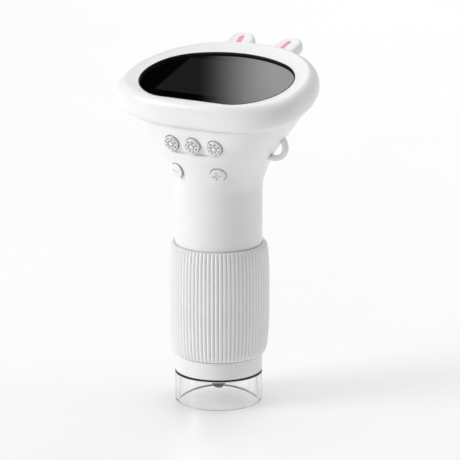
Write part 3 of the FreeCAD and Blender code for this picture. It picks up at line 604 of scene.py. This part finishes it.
# the inside of the moulding
for turn_degrees, height in ((-80, -9.9), (-60, -8.6), (-30, -6.4), (0, -4.4), (25, -2.4), (30, -1.4)):
    turn = math.radians(turn_degrees)
    bezel_rings.append(head_ring(
        lambda i, a, t=turn: outer_radius(a, math.cos(t), 2.6, 2.3), lambda i, a, w=height: w))
bezel_rings.append(head_ring(lambda i, a: WINDOW_RADII[i] + 1.7, lambda i, a: -1.3))
bezel = skin("bezel", bezel_rings, wrap=True, sharp=42)
finish_piece(bezel, white_abs, "handle", "shell_white", "bezel")

# ---------------------------------------------------------------- window
# A smoked acrylic cover bonded under the bezel's lip. Its back is printed black round a clear rectangle,
# so the switched-off display shows as a field a shade lighter than its surround.
GLASS_TOP, GLASS_BOTTOM, GLASS_OVERLAP = 0.0, -1.15, 1.4
glass_rings = [
    head_ring(lambda i, a, g=grow: (WINDOW_RADII[i] + GLASS_OVERLAP) * g, lambda i, a, w=height: w)
    for grow, height in ((0.02, GLASS_TOP), (0.5, GLASS_TOP), (0.96, GLASS_TOP), (0.996, GLASS_TOP),
                         (1.0, GLASS_TOP - 0.15), (1.0, GLASS_BOTTOM), (0.02, GLASS_BOTTOM))
]
window = skin("window_lens", glass_rings, caps=True, sharp=30)
smoked, tree, shader = new_material("smoked_window", Roughness=0.03, IOR=1.5)
coords = tree.nodes.new("ShaderNodeTexCoord")
split = tree.nodes.new("ShaderNodeSeparateXYZ")
turned = tree.nodes.new("ShaderNodeVectorRotate")
turned.rotation_type = "X_AXIS"
turned.inputs["Angle"].default_value = -HEAD_TILT
turned.inputs["Center"].default_value = (0, 0, DISPLAY_HEIGHT * MM)
tree.links.new(coords.outputs["Object"], turned.inputs["Vector"])
tree.links.new(turned.outputs["Vector"], split.inputs["Vector"])


def inside_band(tree, source, half, soft=0.00006):
    """One where the source is within half of zero, fading over a soft edge."""
    size = tree.nodes.new("ShaderNodeMath")
    size.operation = "ABSOLUTE"
    tree.links.new(source, size.inputs[0])
    return spread(tree, size.outputs[0], 1, 0, half - soft, half + soft)


DISPLAY_HALF_WIDTH, DISPLAY_HALF_LENGTH = 20.4 * MM, 15.3 * MM
field = tree.nodes.new("ShaderNodeMath")
field.operation = "MULTIPLY"
tree.links.new(inside_band(tree, split.outputs["X"], DISPLAY_HALF_WIDTH), field.inputs[0])
tree.links.new(inside_band(tree, split.outputs["Y"], DISPLAY_HALF_LENGTH), field.inputs[1])
tree.links.new(blend_colours(tree, field.outputs[0], (0.0015, 0.0015, 0.0015), (0.014, 0.014, 0.0145)),
               shader.inputs["Base Color"])
bumped(tree, shader, noise(tree, 25.0, 1.0), 0.00002, 0.1)
finish_piece(window, smoked, "handle", "smoked_window", "window_lens")
gasket_rings = [
    head_ring(lambda i, a, g=grow: WINDOW_RADII[i] + g, lambda i, a, w=height: w)
    for grow, height in ((-0.22, 0.01), (-0.22, 0.78), (-0.1, 0.88), (0.1, 0.84), (0.1, 0.01))
]
gasket = skin("window_gasket", gasket_rings, wrap=True, sharp=50)
black_rubber, tree, shader = new_material("black_rubber", Specular_IOR_Level=0.3)
tree.links.new(blend_colours(tree, noise(tree, 700.0), (0.006, 0.006, 0.006), (0.012, 0.012, 0.012)),
               shader.inputs["Base Color"])
tree.links.new(spread(tree, noise(tree, 1500.0), 0.5, 0.7), shader.inputs["Roughness"])
bumped(tree, shader, noise(tree, 5000.0), 0.00002, 0.4)
finish_piece(gasket, black_rubber, "handle", "black_rubber", "window_lens")

# ---------------------------------------------------------------- focus sleeve
# A turned and ribbed sleeve in matt white ABS that the fingers twist to focus. Its crown is fattest at
# the middle, its half-round ribs run the full height, and its mouth closes on the neck with a fine gap.
SLEEVE_BOTTOM, SLEEVE_TOP = 20.1, 65.4
RIBS = 76
RIB_DEPTH = 0.75
POINTS_PER_RIB = 10
# share of the height: crest radius
SLEEVE_CROWN = ((0.0, 18.6), (0.05, 19.25), (0.12, 19.7), (0.25, 20.05), (0.4, 20.25), (0.6, 20.25),
                (0.8, 20.1), (0.92, 19.75), (1.0, 19.15))


def rib_ring(crest, depth, height):
    """A loop with half-round ribs: the crests reach the crest radius and the valleys lie deeper."""
    count = RIBS * POINTS_PER_RIB
    ring = []
    for i in range(count):
        across = 2 * ((i % POINTS_PER_RIB) / POINTS_PER_RIB) - 1
        radius = crest - depth * (1 - math.sqrt(max(0.0, 1 - (0.97 * across) ** 2)))
        angle = 2 * math.pi * i / count
        ring.append(Vector((radius * math.cos(angle), radius * math.sin(angle), height)))
    return ring


sleeve_rings = []
sleeve_height = SLEEVE_TOP - SLEEVE_BOTTOM
SLEEVE_END = 0.9
for height, crest, depth in ((0.0, 17.2, 0.0), (0.0, 17.75, 0.12), (0.12, 18.1, 0.35), (0.38, 18.4, 0.55)):
    sleeve_rings.append(rib_ring(crest, depth, SLEEVE_BOTTOM + height))
SLEEVE_STEPS = 30
for step in range(SLEEVE_STEPS + 1):
    height = SLEEVE_END + (sleeve_height - 2 * SLEEVE_END) * step / SLEEVE_STEPS
    crest = along_stations(SLEEVE_CROWN, height / sleeve_height)[0]
    sleeve_rings.append(rib_ring(crest, RIB_DEPTH, SLEEVE_BOTTOM + height))
for height, crest, depth in ((0.5, 18.95, 0.55), (0.2, 18.75, 0.4), (0.03, 18.45, 0.15), (0.0, 18.25, 0.0)):
    sleeve_rings.append(rib_ring(crest, depth, SLEEVE_TOP - height))
for radius, height in ((17.75, SLEEVE_TOP), (17.5, SLEEVE_TOP - 0.06),
                       (17.46, SLEEVE_TOP - 0.2), (17.46, 64.2), (16.7, 64.15),
                       (16.65, 64.0), (16.65, 20.3), (16.8, SLEEVE_BOTTOM)):
    sleeve_rings.append(rib_ring(radius, 0, height))
focus_sleeve = skin("focus_sleeve", sleeve_rings, wrap=True, sharp=55)
matt_abs, tree, shader = new_material("matt_abs", Specular_IOR_Level=0.45)
shade = blend_colours(tree, spread(tree, noise(tree, 70.0, 2.0), 0, 1),
                      (0.86, 0.862, 0.865), (0.89, 0.891, 0.892))
# painted shade: the colour is darkened a little in the sleeve's narrow creases
tree.links.new(with_painted_crease_shade(tree, shade, 0.0006, 0.8), shader.inputs["Base Color"])
tree.links.new(spread(tree, noise(tree, 1100.0), 0.48, 0.58), shader.inputs["Roughness"])
bumped(tree, shader, noise(tree, 5200.0, 2.0), 0.000015, 0.4)
finish_piece(focus_sleeve, matt_abs, "sleeve", "sleeve_white", "focus_sleeve")

# ---------------------------------------------------------------- collar, seal and clear cup
# The white collar holds the sleeve up on its tube. A black seal lies under it, and a clear acrylic cup
# pushes up into both: it sets the working distance and lets light onto the specimen.
collar = lathed("collar_ring", [
    (16.0, 12.85, 0.15), (17.4, 12.85, 0.3), (17.4, 19.9, 0.25),
    (16.6, 19.9, 0.1), (16.6, 16.8, 0), (16.0, 16.8, 0),
])
finish_piece(collar, white_abs, "handle", "shell_white", "collar_ring")
seal = lathed("cup_seal", [(16.0, 12.06, 0.1), (17.35, 12.06, 0.2), (17.35, 12.84, 0.15), (16.0, 12.84, 0.1)])
finish_piece(seal, black_rubber, "handle", "black_rubber", "cup_seal")
cup = lathed("clear_cup", [
    (15.6, 0.0, 0.45), (17.4, 0.0, 1.0), (17.4, 12.0, 0.25), (15.95, 12.0, 0.1), (15.95, 16.5, 0.3),
    (14.75, 16.5, 0.3), (14.75, 12.9, 0.2), (15.6, 12.4, 0.2),
], count=200, steps=6)
clear_acrylic, tree, shader = new_material("clear_acrylic", Transmission_Weight=1.0, IOR=1.49)
# painted shade: the sheet's colour is greyed where the eye follows it edge on, for the dark outlines along
# its rims
painted_edge_shade = add_node(tree, "ShaderNodeLayerWeight", Blend=0.5)
tree.links.new(blend_colours(tree, spread(tree, painted_edge_shade.outputs["Facing"], 0, 1, 0.6, 0.98),
                             (0.975, 0.975, 0.975), (0.3, 0.305, 0.31)), shader.inputs["Base Color"])
tree.links.new(spread(tree, noise(tree, 300.0), 0.0, 0.03), shader.inputs["Roughness"])
bumped(tree, shader, noise(tree, 90.0, 1.0), 0.00002, 0.15)
# shadow rays and bounced light cross the thin wall as they would through clean acrylic
path = tree.nodes.new("ShaderNodeLightPath")
either = tree.nodes.new("ShaderNodeMath")
either.operation = "MAXIMUM"
tree.links.new(path.outputs["Is Shadow Ray"], either.inputs[0])
tree.links.new(path.outputs["Is Diffuse Ray"], either.inputs[1])
clear = add_node(tree, "ShaderNodeBsdfTransparent", Color=(0.97, 0.97, 0.97, 1))
passing = tree.nodes.new("ShaderNodeMixShader")
tree.links.new(either.outputs[0], passing.inputs[0])
tree.links.new(shader.outputs["BSDF"], passing.inputs[1])
tree.links.new(clear.outputs["BSDF"], passing.inputs[2])
tree.links.new(passing.outputs["Shader"], tree.nodes["Material Output"].inputs["Surface"])
finish_piece(cup, clear_acrylic, "cup", "clear_plastic", "clear_cup")

# ---------------------------------------------------------------- snout and light plate
# The black lens barrel ends in a small rounded snout, and moves with the carriage when the sleeve turns.
# Eight lamps shine down past it through the holes of a black plate.
snout = lathed("lens_barrel", [
    (0.9, 5.0, 0.05), (1.7, 5.0, 0.9), (3.2, 6.7, 1.6), (3.75, 10.9, 1.0), (3.75, 29.5, 0), (6.0, 29.5, 0.2),
    (6.0, 31.0, 0.2), (2.0, 31.0, 0.1), (2.0, 7.4, 0),
], count=96)
black_satin, tree, shader = new_material("black_satin", Specular_IOR_Level=0.5)
tree.links.new(blend_colours(tree, noise(tree, 500.0), (0.007, 0.007, 0.0075), (0.013, 0.013, 0.0135)),
               shader.inputs["Base Color"])
tree.links.new(spread(tree, noise(tree, 1200.0), 0.3, 0.45), shader.inputs["Roughness"])
bumped(tree, shader, noise(tree, 4000.0), 0.000015, 0.4)
finish_piece(snout, black_satin, "carriage", "black_plastic", "lens_barrel")

# ---------------------------------------------------------------- keys
# Five moulded caps that stand a little proud in their holes. The upper three carry a raised ring of
# eight teeth round a button, and the lower two are domed, with a plain minus and plus pressed in.
CAP_GAP, CAP_RISE, CAP_EDGE = 0.17, 0.8, 0.3
FLANGE_RADIUS = 4.1
LOWER_LEAN = math.tan(math.radians(6))


def step_up(value, start, end):
    """A smooth step from nought at start to one at end."""
    t = min(1.0, max(0.0, (value - start) / (end - start)))
    return t * t * (3 - 2 * t)


def toothed_relief(x, y):
    """A central button and a ring of eight rounded teeth, height in mm."""
    radius, angle = math.hypot(x, y), math.atan2(y, x)
    button = 1 - step_up(radius, 0.85, 1.1)
    tooth_edge = 1.75 + 0.85 * step_up(math.cos(8 * angle), -0.5, 0.3)
    ring = step_up(radius, 1.3, 1.5) * (1 - step_up(radius, tooth_edge - 0.15, tooth_edge + 0.1))
    return 0.5 * max(button, ring) - 0.3


def bar_relief(x, y, half_length=1.6, half_width=0.28):
    """How deep a point lies inside a bar with round ends, from nought to one."""
    beyond = max(0.0, abs(x) - (half_length - half_width))
    return 1 - step_up(math.hypot(beyond, y), half_width - 0.14, half_width + 0.12)


def minus_relief(x, y):
    return 0.25 - 0.045 * (x * x + y * y) ** 0.9 - 0.35 * bar_relief(x, y)


def plus_relief(x, y):
    return 0.25 - 0.045 * (x * x + y * y) ** 0.9 - 0.35 * max(bar_relief(x, y), bar_relief(y, x))


RELIEFS = {"left": toothed_relief, "centre": toothed_relief, "right": toothed_relief,
           "minus": minus_relief, "plus": plus_relief}


def key_cap(name, cap_radius, relief, place, skew, lean):
    """A cap with its relief on top; skew and lean turn the face while the sides stay true to the hole."""
    around, inward = 128, 30
    rings = []
    for radius, height in ((FLANGE_RADIUS, -4.6), (FLANGE_RADIUS, -3.9),
                           (cap_radius, -3.8), (cap_radius, -2.0)):
        rings.append(circle(radius, height, around))
    for step in range(6):
        turn = math.pi / 2 * step / 5
        radius = cap_radius - CAP_EDGE * (1 - math.cos(turn))
        drop = CAP_EDGE * (1 - math.sin(turn))
        rings.append([p + Vector((0, 0, CAP_RISE - drop + skew * p.x - lean * p.y))
                      for p in circle(radius, 0, around)])
    flat = cap_radius - CAP_EDGE
    for step in range(1, inward):
        radius = flat * (1 - step / inward)
        blend = step_up(flat - radius, 0.0, 0.25)
        rings.append([p + Vector((0, 0, CAP_RISE + skew * p.x - lean * p.y + blend * relief(p.x, p.y)))
                      for p in circle(radius, 0, around)])
    return placed(skin(name, rings, caps=True, sharp=50), place)


key_plastic, tree, shader = new_material("key_plastic", Specular_IOR_Level=0.5, Coat_Weight=0.15,
                                         Coat_Roughness=0.2)
shade = blend_colours(tree, spread(tree, noise(tree, 90.0), 0, 1), (0.83, 0.832, 0.835), (0.86, 0.861, 0.862))
# painted shade: the caps' colour is darkened in the creases round and on them
tree.links.new(with_painted_crease_shade(tree, shade, 0.0008, 0.35), shader.inputs["Base Color"])
tree.links.new(spread(tree, noise(tree, 1400.0), 0.26, 0.34), shader.inputs["Roughness"])
bumped(tree, shader, noise(tree, 4800.0), 0.00001, 0.3)
for name, (centre, splay) in KEYS.items():
    cap = key_cap(f"button_{name}", KEY_HOLE[name] - CAP_GAP, RELIEFS[name], facing(centre, KEY_OUT),
                  -math.tan(math.radians(splay)), LOWER_LEAN if name in ("minus", "plus") else 0.0)
    finish_piece(cap, key_plastic, f"key_{name}", "key_white", f"button_{name}")

# ---------------------------------------------------------------- ears
# Two short flat ears, moulded white with soft edges, plug into the back of the bezel. A pink bar is
# inlaid along the middle of each.
EAR_WIDTH, EAR_LENGTH, EAR_THICKNESS = 11.0, 15.0, 5.0
EAR_SPLAY, EAR_PITCH = math.radians(9.5), math.radians(18.5)


def ear_place(side):
    place = Matrix.Rotation(-side * EAR_SPLAY, 4, "Z") @ Matrix.Rotation(EAR_PITCH, 4, "X")
    place.translation = on_head(side * 9.0, 30.0, -2.0)
    return place


def pillow(width, length, thickness, tip, edge, steps=22, around=48, back=0.0):
    """Loops along a flat bar whose far end is round; each loop is a rounded slab section."""
    rings = []
    for step in range(steps + 1):
        share = step / steps
        if share < 0.5:
            along, half = back + (length - tip - back) * share * 2, width / 2
            thin = 1.0
        else:
            turn = math.pi / 2 * (share - 0.5) * 2
            along = length - tip + tip * math.sin(turn)
            half = max(width / 2 * math.cos(turn) ** 0.9, 0.02)
            thin = max(0.02, min(1.0, math.cos(turn) ** 0.35))
        ring = []
        for i in range(around):
            angle = 2 * math.pi * i / around
            c, s = math.cos(angle), math.sin(angle)
            x = half * math.copysign(abs(c) ** edge, c)
            z = thickness / 2 * thin * math.copysign(abs(s) ** edge, s) - thickness / 2
            ring.append(Vector((x, along, z)))
        rings.append(ring)
    return rings


ear_pink, tree, shader = new_material("ear_pink", Specular_IOR_Level=0.45)
tree.links.new(blend_colours(tree, spread(tree, noise(tree, 400.0), 0, 1),
                             (0.80, 0.33, 0.35), (0.84, 0.38, 0.40)), shader.inputs["Base Color"])
tree.links.new(spread(tree, noise(tree, 1500.0), 0.35, 0.5), shader.inputs["Roughness"])
bumped(tree, shader, noise(tree, 5000.0), 0.00001, 0.3)
for name, side in (("left", -1), ("right", 1)):
    ear = skin(f"ear_{name}", pillow(EAR_WIDTH, EAR_LENGTH, EAR_THICKNESS, 5.6, 0.55), caps=True, sharp=50)
    placed(ear, ear_place(side))
    finish_piece(ear, white_abs, "handle", "shell_white", f"ear_{name}")
    inlay_rings = pillow(2.8, 6.4, 0.9, 1.4, 0.8, back=0.0)
    inlay = skin(f"ear_inlay_{name}", inlay_rings, caps=True, sharp=50)
    placed(inlay, ear_place(side) @ Matrix.Translation((0, 5.0, 0.12)))
    finish_piece(inlay, ear_pink, "handle", "ear_pink", f"ear_inlay_{name}")

# ---------------------------------------------------------------- lanyard loop
# A round eye for a wrist strap, moulded separately and plugged into the side of the flare at two roots.
LOOP_PATH = ((21.6, 103.0), (23.4, 102.5), (25.9, 102.5), (28.3, 103.6), (29.6, 105.9), (29.5, 108.2),
             (28.5, 110.3), (27.2, 112.2))
LOOP_BAND = 1.2


def smooth_path(points, per_run=8):
    """Points on a curve through the given ones."""
    path = []
    ends = [points[0]] + list(points) + [points[-1]]
    for p0, p1, p2, p3 in zip(ends, ends[1:], ends[2:], ends[3:]):
        for step in range(per_run):
            t = step / per_run
            path.append(Vector([
                0.5 * (2 * b + (c - a) * t
                       + (2 * a - 5 * b + 4 * c - d) * t**2 + (3 * b - a - 3 * c + d) * t**3)
                for a, b, c, d in zip(p0, p1, p2, p3)
            ]))
    path.append(Vector(points[-1]))
    return path


loop_rings = []
loop_line = smooth_path(LOOP_PATH)
for i, point in enumerate(loop_line):
    run = (loop_line[min(i + 1, len(loop_line) - 1)] - loop_line[max(i - 1, 0)]).normalized()
    inwards = Vector((-run.y, run.x))
    ring = []
    for k in range(32):
        angle = 2 * math.pi * k / 32
        across = LOOP_BAND * math.copysign(abs(math.cos(angle)) ** 0.8, math.cos(angle))
        deep = 1.25 * math.copysign(abs(math.sin(angle)) ** 0.8, math.sin(angle))
        ring.append(Vector((point.x + inwards.x * across, deep, point.y + inwards.y * across)))
    loop_rings.append(ring)
loop = skin("lanyard_loop", loop_rings, caps=True, sharp=60)
finish_piece(loop, white_abs, "handle", "shell_white", "lanyard_loop")

# ---------------------------------------------------------------- inner parts
# What the shell hides keeps its CAD solid: boards, sockets, cell, screws, lamps and the lens carriage.
# Each gets a material of its own kind, so the microscope can be opened or cut and still look right.


def plain_kind(name, dark, light, scale, rough, metal=0.0, relief=0.00002, **values):
    """A material with fine mottling in colour, roughness and relief."""
    material, tree, shader = new_material(name, Metallic=metal, **values)
    mottle = spread(tree, noise(tree, scale), 0, 1)
    tree.links.new(blend_colours(tree, mottle, dark, light), shader.inputs["Base Color"])
    tree.links.new(spread(tree, noise(tree, scale * 2), rough[0], rough[1]), shader.inputs["Roughness"])
    bumped(tree, shader, noise(tree, scale * 4), relief, 0.4)
    return material


KINDS = {
    "circuit_board": plain_kind("circuit_board", (0.02, 0.16, 0.06), (0.03, 0.22, 0.09), 900, (0.3, 0.42)),
    "chip_black": plain_kind("chip_black", (0.02, 0.02, 0.022), (0.035, 0.035, 0.04), 1500, (0.5, 0.65)),
    "sheet_steel": plain_kind("sheet_steel", (0.5, 0.5, 0.52), (0.6, 0.6, 0.62), 1800, (0.28, 0.4),
                              metal=1.0),
    "screw_steel": plain_kind("screw_steel", (0.48, 0.48, 0.5), (0.62, 0.62, 0.64), 2500, (0.25, 0.38),
                              metal=1.0),
    "display_glass": plain_kind("display_glass", (0.01, 0.01, 0.012), (0.016, 0.016, 0.018), 200,
                                (0.05, 0.09)),
    "cell_foil": plain_kind("cell_foil", (0.55, 0.56, 0.58), (0.66, 0.67, 0.69), 700, (0.3, 0.42), metal=0.9),
    "flex_film": plain_kind("flex_film", (0.38, 0.16, 0.02), (0.46, 0.21, 0.03), 900, (0.25, 0.35)),
    "lamp_white": plain_kind("lamp_white", (0.8, 0.76, 0.45), (0.88, 0.84, 0.55), 2000, (0.2, 0.3)),
    "lens_glass": plain_kind("lens_glass", (0.75, 0.8, 0.95), (0.85, 0.88, 1.0), 200, (0.02, 0.04),
                             Transmission_Weight=0.9, IOR=1.52),
    "black_plastic": black_satin,
    "black_rubber": black_rubber,
    "key_white": key_plastic,
}
shown_slots = {part["node"]: part["material_slot"] for part in frame["record"]["subparts"]}
for node_name, node in frame["nodes"].items():
    if not node.hide_render:
        node.data.materials.clear()
        node.data.materials.append(KINDS[shown_slots[node_name]])
